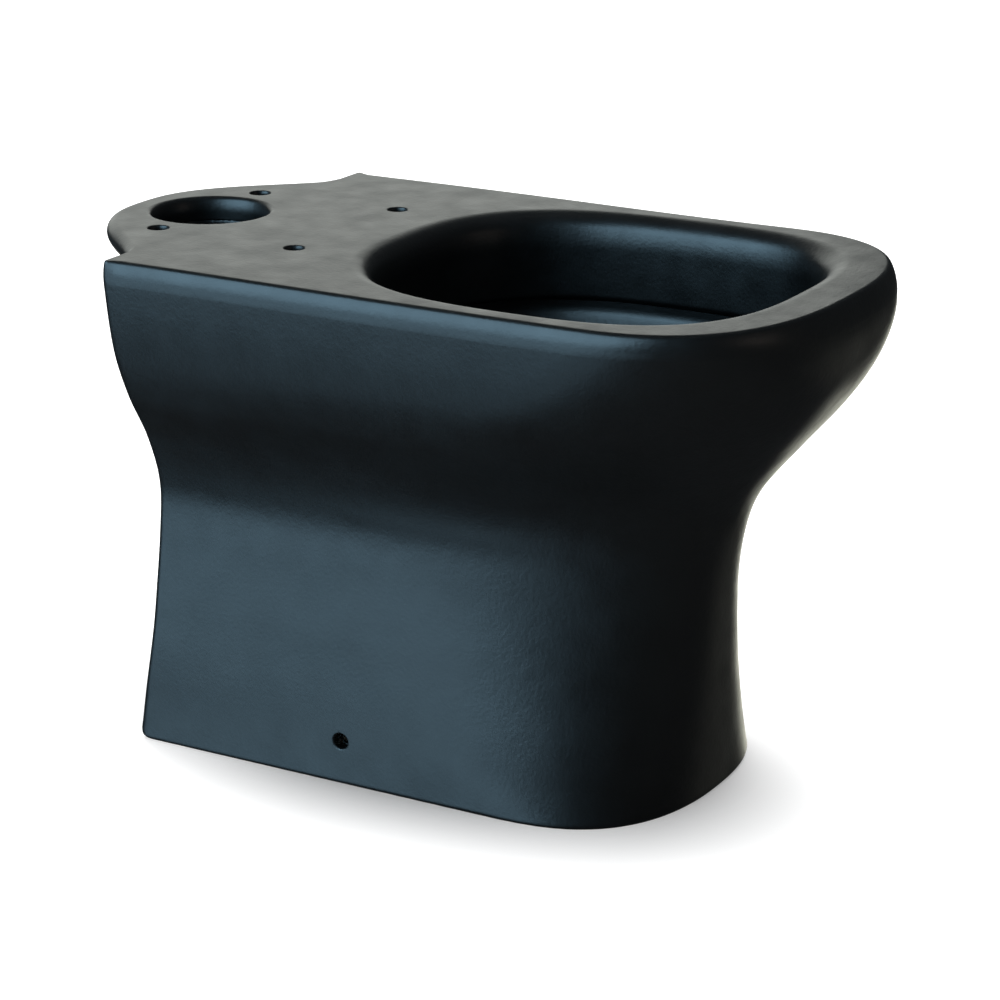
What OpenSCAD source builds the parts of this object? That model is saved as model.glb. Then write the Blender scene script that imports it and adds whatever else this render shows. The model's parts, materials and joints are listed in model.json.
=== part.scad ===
// Pan of a close coupled toilet, with a straight skirt that hides the trap.
// Millimetres. +Z is up and the front of the pan faces -Y. The origin is on the floor, in the
// middle of the overall length and width. The china is cast in sections that are stuck together
// before firing, and each section is its own node. The steel floor brackets sit inside the skirt.

/* [Pan] */
// Overall length, from the front of the rim to the back of the cistern platform
overall_len = 634; // [610:2:660]
// Length of the cistern platform behind the skirt
tongue_len = 96; // [90:1:110]
// Height of the deck above the floor
pan_h = 400; // [395:5:430]
// Width of the deck over its edges
pan_w = 364; // [356:2:372]
// Width of the foot on the floor
foot_w = 278; // [270:2:290]
// Width of the waist, where the skirt is narrowest
waist_w = 239; // [230:1:250]
// Thickness of the skirt wall
skirt_wall = 10; // [8:1:12]

/* [Deck] */
// Thickness of the deck casting
deck_t = 18; // [16:1:20]
// Radius of the deck's outer edge
edge_r = 9; // [6:0.5:9]
// Widest part of the bowl opening, over its rolled lip
mouth_w = 326; // [310:2:330]
// Length of the bowl opening, over its rolled lip
mouth_len = 352; // [330:2:356]
// Distance from the front of the rim to the bowl opening
front_rim = 40; // [36:1:50]
// Depth of the rim wall below the deck
rim_depth = 70; // [58:1:72]

/* [Fittings] */
// Distance between the two seat hinge holes
seat_spacing = 150; // [140:1:165]
// Diameter of each seat hinge hole
seat_hole_d = 15; // [12:0.5:16]
// Distance between the two cistern bolt holes
cistern_spacing = 142; // [136:1:150]
// Diameter of each cistern bolt hole
cistern_hole_d = 16; // [12:0.5:18]
// Bore of the flush inlet
inlet_d = 90; // [80:1:92]
// Diameter of each side fixing hole
side_hole_d = 12; // [8:0.5:14]
// Outside diameter of the outlet spigot
spigot_d = 102; // [98:1:104]
// Height of the outlet spigot's centre above the floor
spigot_z = 180; // [175:1:190]

/* [Hidden] */
$fn = 64;
eps = 0.5;                               // overrun of a cutting tool
gap = 0.3;                               // glue line between two faceted china sections
front_y = -overall_len / 2;              // front tip of the rim
rear_y = overall_len / 2 - tongue_len;   // rear plane of the skirt
under_deck = pan_h - deck_t;             // where the deck sits on the skirt
china = [0.10, 0.12, 0.13];
steel = [0.70, 0.71, 0.72];

// Skirt: half width and front line against height, and the size of the front corners.
foot_kick = 13;                          // the rear edge runs out this far at the floor
kick_h = 120;
foot_h = 22;
rear_corner_r = edge_r + 1;              // must stay above the edge radius
side_top_z = 391;                        // the side is upright from here to the deck
side_profile = [
    [0, foot_w / 2], [50, foot_w / 2], [110, 131], [170, 121.5], [210, waist_w / 2],
    [250, 133], [290, 156], [330, 172], [side_top_z, pan_w / 2], [pan_h, pan_w / 2]
];
front_profile = [
    [0, 105], [150, 103], [200, 97], [235, 85], [275, 54], [310, 25], [340, 7], [368, 0], [pan_h, 5]
];
corner_depth = [132, 273, 136];          // length of the front corner at floor, middle and deck
corner_side_power = [2.4, 2.3, 2.7];     // squareness where the corner meets the side
corner_front_power = [2.9, 2.2, 2.3];    // squareness where it meets the front
corner_steps = 13;
skirt_layers = 20;
past_rear = 20;                          // the hollow of the skirt runs this far past its open back
foot_wall = skirt_wall + 4;
frame_t = 12;
frame_gap_half = 80;                     // opening in the back frame around the outlet
frame_gap_top = 300;

// Cistern platform.
tongue_half = 150;
tongue_fill = 1.3;                       // above 1 the middle of the platform is blunter
tongue_power = 0.7;                      // below 1 its sides are fuller
tongue_steps = 20;

// Bowl opening, as two half superellipses about one widest line.
lip_r = deck_t;                          // the lip rolls through the whole deck
mouth_front = mouth_len * 0.47;          // from the front of the opening to its widest line
mouth_y = front_y + front_rim + mouth_front;
mouth_rear = mouth_len - mouth_front;
mouth_front_power = 2.9;
mouth_rear_power = 2.6;
mouth_steps = 48;
china_t = 9;                             // wall of the bowl, rim and ducts
rim_bottom = pan_h - rim_depth;

// Rim channel, flush inlet and duct.
channel_z = under_deck - 37;             // top of the channel's floor
channel_floor_t = 7;
channel_w = 164;                         // half width of the channel's outer edge
channel_front = 190;
channel_rear = 205;
channel_wall = 8;
rim_back_y = 10;                         // the channel's rear wall starts here
splitter_half = 9;
splitter_len = 30;
splitter_back = 12;                      // from the duct's mouth to the splitter
jet_r = 2.5;
jet_count = 22;
jet_inset = 6;
inlet_y = rear_y + 24;
inlet_r = inlet_d / 2;
inlet_lip_r = 8;
hole_lip_r = 3;
seat_y = rear_y - 104;
duct_half = 40;
duct_y = mouth_y + channel_rear + channel_wall;

// Bowl and trap, all on the centre plane.
bowl_top = rim_bottom - 10;
sump_top = 170;
sump_y = -15;
sump_r = 45;
bowl_top_half = 149;
bowl_top_front = -279;
bowl_top_rear = 70;
bowl_layers = 12;
bowl_swell = 0.95;                       // below 1 the bowl's sides bulge outwards
bowl_rear_swell = 0.8;
bowl_squareness = 0.5;                   // added to the power of the round, at the top
trap_r = 25;                             // passage
trap_out_r = trap_r + china_t;
dip_z = 100;
saddle_t = 12;
saddle_len = 80;
saddle_front = 30;                       // from the middle of the sump to the saddle's front
dip_end_y = 35;
bend_r = 50;
rise_angle = 55;
spigot_wall = 7;
crown_z = spigot_z + spigot_d / 2 - spigot_wall - trap_r - 1;
dip_exit = [dip_end_y + bend_r * sin(rise_angle), dip_z + bend_r * (1 - cos(rise_angle))];
leg_len = (crown_z - dip_z - 2 * bend_r * (1 - cos(rise_angle))) / sin(rise_angle);
leg_end = [dip_exit[0] + leg_len * cos(rise_angle), dip_exit[1] + leg_len * sin(rise_angle)];
spigot_y = leg_end[0] + bend_r * sin(rise_angle);
spigot_end_y = rear_y + 17;

// Side fixings.
fix_y = 42;
fix_z = 36;
boss_t = 12;
boss_r = 14;
boss_x = foot_w / 2 - skirt_wall - boss_t;
bracket_t = 3;
bracket_w = 40;
bracket_h = 60;
bracket_foot = 40;
screw_hole_r = 3.5;
nut_across = 16;
nut_h = 7;
nut_bore_r = 4.2;

// ---- Shared functions ----

// Slope of a profile at one of its points.
function slope(list, i) =
    i == 0 || i == len(list) - 1
        ? 0
        : (list[i + 1][1] - list[i - 1][1]) / (list[i + 1][0] - list[i - 1][0]);

// Index of the profile span that holds x.
function span_of(list, x, i = 0) =
    i >= len(list) - 2 || x <= list[i + 1][0] ? i : span_of(list, x, i + 1);

// Smooth curve through the points of a profile.
function along(list, x) =
    let (
        i = span_of(list, x),
        w = list[i + 1][0] - list[i][0],
        t = (x - list[i][0]) / w,
        m0 = slope(list, i) * w,
        m1 = slope(list, i + 1) * w
    )
    (2 * t ^ 3 - 3 * t ^ 2 + 1) * list[i][1] + (t ^ 3 - 2 * t ^ 2 + t) * m0
        + (3 * t ^ 2 - 2 * t ^ 3) * list[i + 1][1] + (t ^ 3 - t ^ 2) * m1;

// Quadratic through three values: at the floor, at half height and at the deck.
function blend3(values, t) =
    values[0] * (1 - t) * (1 - 2 * t) + values[1] * 4 * t * (1 - t) + values[2] * t * (2 * t - 1);

function reversed(list) = [for (i = [len(list) - 1 : -1 : 0]) list[i]];
function mirrored(list) = [for (p = list) [-p[0], p[1]]];

// Whole outline from its right half, which runs from the front tip to the rear middle.
function whole(half) =
    concat(half, reversed(mirrored([for (i = [1 : len(half) - 2]) half[i]])));

function rear_at(z) = rear_y + (z < kick_h ? foot_kick * (1 - z / kick_h) ^ 2 : 0);

// Front corner and side of the skirt at height z, moved inwards by inset.
function corner_half(z, inset) =
    let (
        t = min(z / side_top_z, 1),
        a = along(side_profile, z) - inset,
        b = blend3(corner_depth, t) - inset,
        n = blend3(corner_side_power, t),
        m = blend3(corner_front_power, t),
        y0 = front_y + along(front_profile, z) + inset
    )
    [
        for (k = [0 : corner_steps])
            let (s = 1 - cos(90 * k / corner_steps))
            [a * (1 - (1 - s) ^ m) ^ (1 / n), y0 + b * s]
    ];

// Rounded rear corner of the skirt.
function rear_corner(a, y, r) =
    [for (q = [0 : 30 : 90]) [a - r + r * cos(q), y - r + r * sin(q)]];

function skirt_outline(z, inset, rear) =
    let (a = along(side_profile, z) - inset)
    whole(concat(
        corner_half(z, inset),
        rear_corner(a, rear, max(rear_corner_r - inset, 1)),
        [[0, rear]]
    ));

// Edge of the cistern platform: half a cosine wave, filled out at its sides.
function tongue_edge(x) =
    tongue_len * ((1 + cos(180 * (x / tongue_half) ^ tongue_fill)) / 2) ^ tongue_power;

function deck_outline(z) =
    whole(concat(
        corner_half(min(z, side_top_z), 0),
        rear_corner(pan_w / 2, rear_y, rear_corner_r),
        [
            for (k = [0 : tongue_steps])
                let (x = tongue_half * (1 - k / tongue_steps))
                [x, rear_y + tongue_edge(x)]
        ]
    ));

// Outline moved inwards along its own normals, by a different amount at each point.
function inward(outline, d) =
    let (n = len(outline))
    [
        for (i = [0 : n - 1])
            let (
                t = outline[(i + 1) % n] - outline[(i + n - 1) % n],
                u = t / norm(t)
            )
            outline[i] + d[i] * [-u[1], u[0]]
    ];

function mouth_outline(inset) =
    superellipse_pair(
        mouth_w / 2 - inset, mouth_front - inset, mouth_rear - inset,
        mouth_y, mouth_front_power, mouth_rear_power
    );

// Closed curve with one half length towards the front and another towards the rear.
function superellipse_pair(a, front, rear, y, front_power, rear_power) =
    [
        for (k = [0 : mouth_steps - 1])
            let (
                q = 360 * k / mouth_steps,
                p = sin(q) < 0 ? front_power : rear_power,
                b = sin(q) < 0 ? front : rear
            )
            [
                a * sign(cos(q)) * abs(cos(q)) ^ (2 / p),
                y + b * sign(sin(q)) * abs(sin(q)) ^ (2 / p)
            ]
    ];

// Solid through a stack of outlines, each with the same number of points.
module stack(outlines, heights) {
    n = len(outlines[0]);
    top = len(outlines) - 1;
    points = [
        for (j = [0 : top])
            for (p = outlines[j])
                [p[0], p[1], heights[j]]
    ];
    sides = [
        for (j = [0 : top - 1])
            for (i = [0 : n - 1])
                let (a = j * n + i, b = j * n + (i + 1) % n)
                each [[a, a + n, b + n], [a, b + n, b]]
    ];
    polyhedron(
        points,
        concat(sides, [[for (i = [0 : n - 1]) i]], [[for (i = [n - 1 : -1 : 0]) top * n + i]]),
        convexity = 6
    );
}

// ---- Skirt and foot ----

module skirt_solid(low, high, inset, rear_extra) {
    zs = [for (j = [0 : skirt_layers]) low + (high - low) * j / skirt_layers];
    stack([for (z = zs) skirt_outline(z, inset, rear_at(z) + rear_extra)], zs);
}

module side_hole() {
    translate([-foot_w, fix_y, fix_z])
        rotate([0, 90, 0])
            cylinder(h = 2 * foot_w, d = side_hole_d);
}

module skirt() {
    color(china)
        difference() {
            difference() {
                skirt_solid(foot_h, under_deck, 0, 0);
                skirt_solid(foot_h - eps, under_deck + eps, skirt_wall, past_rear);
            }
            side_hole();
        }
}

module foot_ring() {
    color(china)
        difference() {
            skirt_solid(0, foot_h, 0, 0);
            skirt_solid(-eps, foot_h + eps, foot_wall, past_rear);
        }
}

// Frame that stiffens the open back, with room for the outlet and the flush duct.
module back_frame() {
    color(china)
        difference() {
            intersection() {
                skirt_solid(foot_h, under_deck, skirt_wall + gap, past_rear);
                translate([-pan_w, rear_y - frame_t, 0])
                    cube([2 * pan_w, frame_t, pan_h]);
            }
            translate([-frame_gap_half, rear_y - 50, 0])
                cube([2 * frame_gap_half, 100, frame_gap_top]);
            translate([-duct_half - china_t - gap, rear_y - 50, channel_z - china_t - gap])
                cube([2 * (duct_half + china_t + gap), 100, 100]);
        }
}

// ---- Deck ----

// Depth of the round at height z for an edge radius r that starts at the top.
function round_inset(drop, r) = drop < r ? r - sqrt(r ^ 2 - (r - drop) ^ 2) : 0;

module deck_slab() {
    angles = [0 : 22.5 : 90];
    top = [for (q = angles) edge_r * (1 - cos(q))];
    drops = concat(top, [for (i = [len(top) - 1 : -1 : 0]) deck_t - top[i]]);
    stack(
        [
            for (i = [len(drops) - 1 : -1 : 0])
                let (outline = deck_outline(pan_h - drops[i]))
                inward(outline, [
                    for (p = outline)
                        round_inset(drops[i], edge_r)
                            + (p[1] > rear_y + eps ? round_inset(deck_t - drops[i], edge_r) : 0)
                ])
        ],
        [for (i = [len(drops) - 1 : -1 : 0]) pan_h - drops[i]]
    );
}

// The rolled lip of the bowl opening, as the tool that cuts it.
module mouth_cut() {
    angles = [90 : -15 : 0];
    outlines = [for (q = angles) mouth_outline(lip_r * sin(q))];
    heights = [for (q = angles) pan_h - lip_r * (1 - cos(q))];
    stack(
        concat([mouth_outline(lip_r)], outlines, [mouth_outline(0)]),
        concat([under_deck - eps], heights, [pan_h + eps])
    );
}

// A round hole through the deck with a rolled lip.
module lipped_hole(r, lip) {
    translate([0, 0, under_deck - eps])
        cylinder(h = deck_t + 2 * eps, r = r);
    translate([0, 0, pan_h])
        rotate_extrude()
            difference() {
                translate([0, -lip])
                    square([r + lip, lip + eps]);
                translate([r + lip, -lip])
                    circle(r = lip);
            }
}

module deck() {
    color(china)
        difference() {
            difference() {
                deck_slab();
                mouth_cut();
            }
            translate([0, inlet_y, 0])
                lipped_hole(inlet_r, inlet_lip_r);
            for (side = [-1, 1]) {
                translate([side * seat_spacing / 2, seat_y, 0])
                    lipped_hole(seat_hole_d / 2, hole_lip_r);
                translate([side * cistern_spacing / 2, inlet_y, 0])
                    lipped_hole(cistern_hole_d / 2, hole_lip_r);
            }
        }
}

// ---- Rim and flush channel ----

module rim_wall() {
    color(china)
        translate([0, 0, rim_bottom])
            linear_extrude(under_deck - rim_bottom)
                difference() {
                    polygon(mouth_outline(lip_r - china_t));
                    polygon(mouth_outline(lip_r));
                }
}

function channel_outline(out) =
    superellipse_pair(
        channel_w + out, channel_front + out, channel_rear + out,
        mouth_y, mouth_front_power, mouth_rear_power
    );

module rim_floor() {
    jets = mouth_outline(lip_r - china_t - jet_inset);
    floor_z = channel_z - channel_floor_t;
    color(china)
        difference() {
            intersection() {
                translate([0, 0, floor_z])
                    linear_extrude(channel_floor_t)
                        difference() {
                            polygon(channel_outline(0));
                            polygon(mouth_outline(lip_r - china_t));
                        }
                skirt_solid(floor_z - eps, channel_z + eps, skirt_wall + gap, 0);
            }
            for (k = [0 : jet_count - 1])
                translate(concat(jets[floor(k * mouth_steps / jet_count)], [floor_z - eps]))
                    cylinder(h = channel_floor_t + 2 * eps, r = jet_r, $fn = 24);
        }
}

// Wall that closes the channel behind the bowl, with a doorway for the duct.
module rim_back() {
    color(china)
        translate([0, 0, channel_z])
            linear_extrude(under_deck - channel_z)
                difference() {
                    polygon(channel_outline(channel_wall));
                    polygon(channel_outline(0));
                    translate([-pan_w, rim_back_y - 2 * overall_len])
                        square([2 * pan_w, 2 * overall_len]);
                    translate([-duct_half, 0])
                        square([2 * duct_half, overall_len]);
                }
}

module duct_plan(half, r, y0) {
    translate([0, inlet_y])
        circle(r = r);
    translate([-half, y0])
        square([2 * half, inlet_y - y0]);
}

module flush_duct() {
    color(china)
        difference() {
            translate([0, 0, channel_z - china_t])
                linear_extrude(under_deck - channel_z + china_t)
                    duct_plan(duct_half + china_t, inlet_r + china_t, duct_y);
            translate([0, 0, channel_z])
                linear_extrude(pan_h)
                    duct_plan(duct_half, inlet_r, duct_y - eps);
        }
}

// Wedge that shares the flush between the two sides of the rim.
module flush_splitter() {
    color(china)
        translate([0, duct_y + splitter_back, channel_z])
            linear_extrude(under_deck - channel_z)
                polygon([[-splitter_half, 0], [splitter_half, 0], [0, splitter_len]]);
}

// ---- Bowl and trap ----

function bowl_outline(z, out) =
    let (
        t = (z - sump_top) / (bowl_top - sump_top),
        half = sump_r + (bowl_top_half - sump_r) * t ^ bowl_swell + out,
        front = sump_y - sump_r + (bowl_top_front - sump_y + sump_r) * t ^ bowl_swell - out,
        rear = sump_y + sump_r + (bowl_top_rear - sump_y - sump_r) * t ^ bowl_rear_swell + out,
        centre = (front + rear) / 2,
        power = 2 + bowl_squareness * t
    )
    superellipse_pair(half, centre - front, rear - centre, centre, power, power);

module bowl_solid(out, over) {
    zs = [for (j = [0 : bowl_layers]) sump_top + (bowl_top - sump_top) * j / bowl_layers];
    stack(
        concat(
            [bowl_outline(sump_top, out)],
            [for (z = zs) bowl_outline(z, out)],
            [bowl_outline(bowl_top, out)]
        ),
        concat([sump_top - over], zs, [bowl_top + over])
    );
}

module bowl() {
    color(china)
        difference() {
            intersection() {
                bowl_body();
                skirt_solid(sump_top - eps, bowl_top + eps, skirt_wall + gap, 0);
            }
            bowl_solid(0, eps);
        }
}

module bowl_body() {
    zs = [for (j = [0 : bowl_layers]) sump_top + (bowl_top - sump_top) * j / bowl_layers];
    stack([for (z = zs) bowl_outline(z, china_t)], zs);
}

// Round cup that stands at the bottom of the bowl.
module sump_solid(r, floor_z, top_z, round_r) {
    translate([0, sump_y, 0])
        rotate_extrude()
            union() {
                translate([0, floor_z])
                    square([r - round_r, top_z - floor_z]);
                translate([0, floor_z + round_r])
                    square([r, top_z - floor_z - round_r]);
                intersection() {
                    translate([r - round_r, floor_z + round_r])
                        circle(r = round_r);
                    translate([0, floor_z])
                        square([r, top_z]);
                }
            }
}

sump_floor = dip_z - trap_r;
sump_round = 20;

module sump_hollow() {
    sump_solid(sump_r, sump_floor, sump_top + eps, sump_round);
}

// Straight run of the trap passage, from the sump to the first bend.
module dip_rod(r, from_y) {
    translate([0, from_y, dip_z])
        rotate([-90, 0, 0])
            cylinder(h = dip_end_y - from_y, r = r);
}

module sump() {
    color(china)
        difference() {
            sump_solid(sump_r + china_t, sump_floor - china_t, sump_top, sump_round + china_t);
            sump_hollow();
            dip_rod(trap_out_r, sump_y);
        }
}

// Bend of the trap in the centre plane. Angles run from +Y towards +Z.
module bend(r, from_angle) {
    rotate([90, 0, 90])
        rotate([0, 0, from_angle])
            rotate_extrude(angle = rise_angle)
                translate([bend_r, 0])
                    circle(r = r);
}

// Bend that turns the passage upwards from level.
module dip_bend(r) {
    translate([0, dip_end_y, dip_z + bend_r])
        bend(r, -90);
}

module trap_dip() {
    color(china)
        difference() {
            union() {
                dip_rod(trap_out_r, sump_y);
                dip_bend(trap_out_r);
            }
            dip_rod(trap_r, sump_y - eps);
            dip_bend(trap_r);
            sump_hollow();
        }
}

module trap_up_leg() {
    color(china)
        translate([0, dip_exit[0], dip_exit[1]])
            rotate([rise_angle - 90, 0, 0])
                difference() {
                    cylinder(h = leg_len, r = trap_out_r);
                    translate([0, 0, -eps])
                        cylinder(h = leg_len + 2 * eps, r = trap_r);
                }
}

// Bend that turns the passage level again, over the weir.
module crown_bend(r) {
    translate([0, spigot_y, crown_z - bend_r])
        bend(r, 90);
}

module trap_crown() {
    color(china)
        difference() {
            crown_bend(trap_out_r);
            crown_bend(trap_r);
        }
}

// Spigot that takes the soil pipe, with the passage let into its front wall.
module outlet_spigot() {
    color(china)
        translate([0, spigot_y, spigot_z])
            rotate([-90, 0, 0])
                difference() {
                    cylinder(h = spigot_end_y - spigot_y, d = spigot_d);
                    translate([0, 0, china_t])
                        cylinder(h = spigot_end_y, r = spigot_d / 2 - spigot_wall);
                    translate([0, spigot_z - crown_z, -eps])
                        cylinder(h = china_t + 2 * eps, r = trap_r);
                }
}

// Web that carries the trap on the floor.
module trap_saddle() {
    color(china)
        difference() {
            translate([-saddle_t / 2, sump_y - saddle_front, 0])
                cube([saddle_t, saddle_len, dip_z]);
            sump_solid(sump_r + china_t, sump_floor - china_t, sump_top, sump_round + china_t);
            dip_rod(trap_out_r, sump_y);
        }
}

// ---- Side fixings, drawn for the right side and mirrored for the left ----

module fixing_boss() {
    color(china)
        difference() {
            translate([boss_x, fix_y, fix_z])
                rotate([0, 90, 0])
                    cylinder(h = boss_t, r = boss_r);
            side_hole();
        }
}

module floor_bracket() {
    color(steel)
        difference() {
            translate([boss_x - bracket_t, fix_y - bracket_w / 2, 0])
                union() {
                    cube([bracket_t, bracket_w, bracket_h]);
                    translate([-bracket_foot, 0, 0])
                        cube([bracket_foot + bracket_t, bracket_w, bracket_t]);
                }
            side_hole();
            translate([boss_x - bracket_t - bracket_foot / 2, fix_y, -eps])
                cylinder(h = bracket_t + 2 * eps, r = screw_hole_r);
        }
}

module bracket_nut() {
    color(steel)
        translate([boss_x - bracket_t - nut_h, fix_y, fix_z])
            rotate([0, 90, 0])
                difference() {
                    cylinder(h = nut_h, d = nut_across / cos(30), $fn = 6);
                    translate([0, 0, -eps])
                        cylinder(h = nut_h + 2 * eps, r = nut_bore_r);
                }
}

module fixing_boss_left() {
    mirror([1, 0, 0]) fixing_boss();
}

module fixing_boss_right() {
    fixing_boss();
}

module floor_bracket_left() {
    mirror([1, 0, 0]) floor_bracket();
}

module floor_bracket_right() {
    floor_bracket();
}

module bracket_nuts() {
    bracket_nut();
    mirror([1, 0, 0]) bracket_nut();
}

skirt();
foot_ring();
back_frame();
deck();
rim_wall();
rim_floor();
rim_back();
flush_duct();
flush_splitter();
bowl();
sump();
trap_dip();
trap_up_leg();
trap_crown();
outlet_spigot();
trap_saddle();
fixing_boss_left();
fixing_boss_right();
floor_bracket_left();
floor_bracket_right();
bracket_nuts();
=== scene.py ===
"""Looks of the toilet pan: satin black china over bare clay, on a pale studio floor."""

import json
import math

import bmesh
import bpy
import numpy as np
from mathutils import Matrix, Vector, noise


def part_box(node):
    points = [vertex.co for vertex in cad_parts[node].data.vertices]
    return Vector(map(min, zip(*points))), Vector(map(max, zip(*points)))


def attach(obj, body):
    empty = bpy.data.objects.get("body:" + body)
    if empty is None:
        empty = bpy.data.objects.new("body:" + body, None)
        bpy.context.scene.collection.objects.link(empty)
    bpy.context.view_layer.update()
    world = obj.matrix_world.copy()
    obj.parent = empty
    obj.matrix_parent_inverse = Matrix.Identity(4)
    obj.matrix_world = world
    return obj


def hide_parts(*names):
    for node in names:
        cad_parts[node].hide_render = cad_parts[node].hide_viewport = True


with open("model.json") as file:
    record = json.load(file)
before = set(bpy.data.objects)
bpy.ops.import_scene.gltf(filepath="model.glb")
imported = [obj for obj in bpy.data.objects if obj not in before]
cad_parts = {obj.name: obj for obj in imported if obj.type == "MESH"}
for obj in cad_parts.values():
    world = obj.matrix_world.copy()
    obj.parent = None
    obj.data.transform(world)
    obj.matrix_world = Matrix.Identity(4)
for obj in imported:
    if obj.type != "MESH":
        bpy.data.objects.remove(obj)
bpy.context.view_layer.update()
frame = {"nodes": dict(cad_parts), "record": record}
MM = 0.001

# ---- Sizes, in metres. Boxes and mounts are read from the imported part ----

DECK_LOW, DECK_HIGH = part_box("deck")
PAN_H = DECK_HIGH.z
UNDER_DECK = DECK_LOW.z
DECK_T = PAN_H - UNDER_DECK
FRONT_Y = -DECK_HIGH.y
TONGUE_LEN = 96 * MM
TONGUE_HALF = 150 * MM
TONGUE_FILL = 1.3
TONGUE_POWER = 0.7
REAR_Y = DECK_HIGH.y - TONGUE_LEN
MOUNTS = {m["name"]: m for m in frame["record"]["mounts"]}
SKIRT_WALL = 10 * MM
CHINA_T = 9 * MM
EDGE_R = 9 * MM
REAR_CORNER_R = 7 * MM
RIM_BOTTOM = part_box("rim_wall")[0].z
BOWL_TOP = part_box("bowl")[1].z
BOWL_BRIM = RIM_BOTTOM - 0.6 * MM
SUMP_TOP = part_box("bowl")[0].z
SUMP_LOW, SUMP_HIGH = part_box("sump")
SUMP_OUT_R = SUMP_HIGH.x
SUMP_R = SUMP_OUT_R - CHINA_T
SUMP_Y = (SUMP_LOW.y + SUMP_HIGH.y) / 2
SUMP_ROUND = 20 * MM
SPIGOT_LOW, SPIGOT_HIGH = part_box("outlet_spigot")
SPIGOT_R = SPIGOT_HIGH.x
SPIGOT_Z = (SPIGOT_LOW.z + SPIGOT_HIGH.z) / 2
SPIGOT_WALL = 7 * MM

# Trap: centre line in the middle plane, level, then rising at an angle, then level again.
TRAP_R = 25 * MM
TRAP_OUT_R = TRAP_R + CHINA_T
DIP_Z = SUMP_LOW.z + CHINA_T + TRAP_R
DIP_END_Y = 35 * MM
BEND_R = 50 * MM
RISE = math.radians(55)
CROWN_Z = SPIGOT_HIGH.z - SPIGOT_WALL - TRAP_R - 1 * MM
BEND_UP = BEND_R * (1 - math.cos(RISE))
BEND_ON = BEND_R * math.sin(RISE)
LEG_LEN = (CROWN_Z - DIP_Z - 2 * BEND_UP) / math.sin(RISE)

# Skirt curves in millimetres: half width and distance from the front plane, against height.
SIDE_TOP = 391 * MM
SIDE_PROFILE = [
    (0, 139), (50, 139), (110, 131), (170, 121.5), (210, 119.5),
    (250, 133), (290, 156), (330, 172), (SIDE_TOP / MM, 182), (400, 182),
]
FRONT_PROFILE = [
    (0, 105), (150, 103), (200, 97), (235, 85), (275, 54),
    (310, 25), (340, 7), (368, 0), (400, 5),
]

# Front corners at the floor, at half height and at the deck: length in millimetres, and how
# square they are where they meet the side and the front.
CORNER_DEPTH = (132, 273, 136)
CORNER_SIDE_POWER = (2.4, 2.3, 2.7)
CORNER_FRONT_POWER = (2.9, 2.2, 2.3)

# Rear edge of the skirt near the floor
FOOT_KICK = 13 * MM
KICK_H = 120 * MM
FOOT_ROUND = 9 * MM

# Bowl opening
LIP_R = DECK_T
MOUTH_W = 326 * MM
MOUTH_LEN = 352 * MM
FRONT_RIM = 40 * MM
MOUTH_FRONT = MOUTH_LEN * 0.47
MOUTH_Y = FRONT_Y + FRONT_RIM + MOUTH_FRONT
MOUTH_REAR = MOUTH_LEN - MOUTH_FRONT
MOUTH_POWERS = (2.9, 2.6)

# Bowl: its plan under the rim wall, how its sides and rear bulge between there and the round
# sump, how soon they leave the sump, and how much squarer than a round it is at the top.
BOWL_TOP_HALF = 149 * MM
BOWL_TOP_FRONT = -279 * MM
BOWL_TOP_REAR = 70 * MM
BOWL_SWELL = 0.95
BOWL_REAR_SWELL = 0.8
BOWL_EASE = 0.07
BOWL_SQUARENESS = 0.5
BOWL_GAP = 0.3 * MM

# Rolled edges: (whole run inwards, radius of the tight turn, degrees of the tight turn)
MOUTH_ROLL = (LIP_R, 16.5 * MM, 74)
SIDE_ROLL = (9 * MM, 5 * MM, 60)
REAR_TIGHTER = 0.65

# Kiln sag of the front of the rim, and slow waviness
SAG = 1.2 * MM
SAG_Y = -120 * MM
SAG_LEN = 140 * MM
WAVE = 0.5 * MM
WAVE_SCALE = 6.0

# Softening of the plainer cast sections: voxel size and smoothing passes
CAST_VOXEL = 1.6 * MM
SMALL_VOXEL = 1.2 * MM
CAST_PASSES = 5


# ---- Curves ----


def along(profile, x):
    """Smooth curve through the profile's points, at the values x."""
    xs, ys = np.array(profile, float).T
    slopes = np.zeros(len(xs))
    slopes[1:-1] = (ys[2:] - ys[:-2]) / (xs[2:] - xs[:-2])
    i = np.clip(np.searchsorted(xs, x) - 1, 0, len(xs) - 2)
    w = xs[i + 1] - xs[i]
    t = (x - xs[i]) / w
    return (
        (2 * t**3 - 3 * t**2 + 1) * ys[i]
        + (t**3 - 2 * t**2 + t) * slopes[i] * w
        + (3 * t**2 - 2 * t**3) * ys[i + 1]
        + (t**3 - t**2) * slopes[i + 1] * w
    )


def blend3(values, t):
    """Quadratic through three values: at the floor, at half height and at the deck."""
    low, mid, high = values
    return low * (1 - t) * (1 - 2 * t) + mid * 4 * t * (1 - t) + high * t * (2 * t - 1)


def half_width(z):
    return float(along(SIDE_PROFILE, z / MM)) * MM


def rear_at(z):
    """Rear edge of the skirt: it runs out towards the floor, then rounds in under itself."""
    low = max(FOOT_ROUND - z, 0.0)
    return (
        REAR_Y + FOOT_KICK * max(0.0, 1 - z / KICK_H) ** 2
        - FOOT_ROUND + math.sqrt(FOOT_ROUND**2 - low**2)
    )


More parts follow.
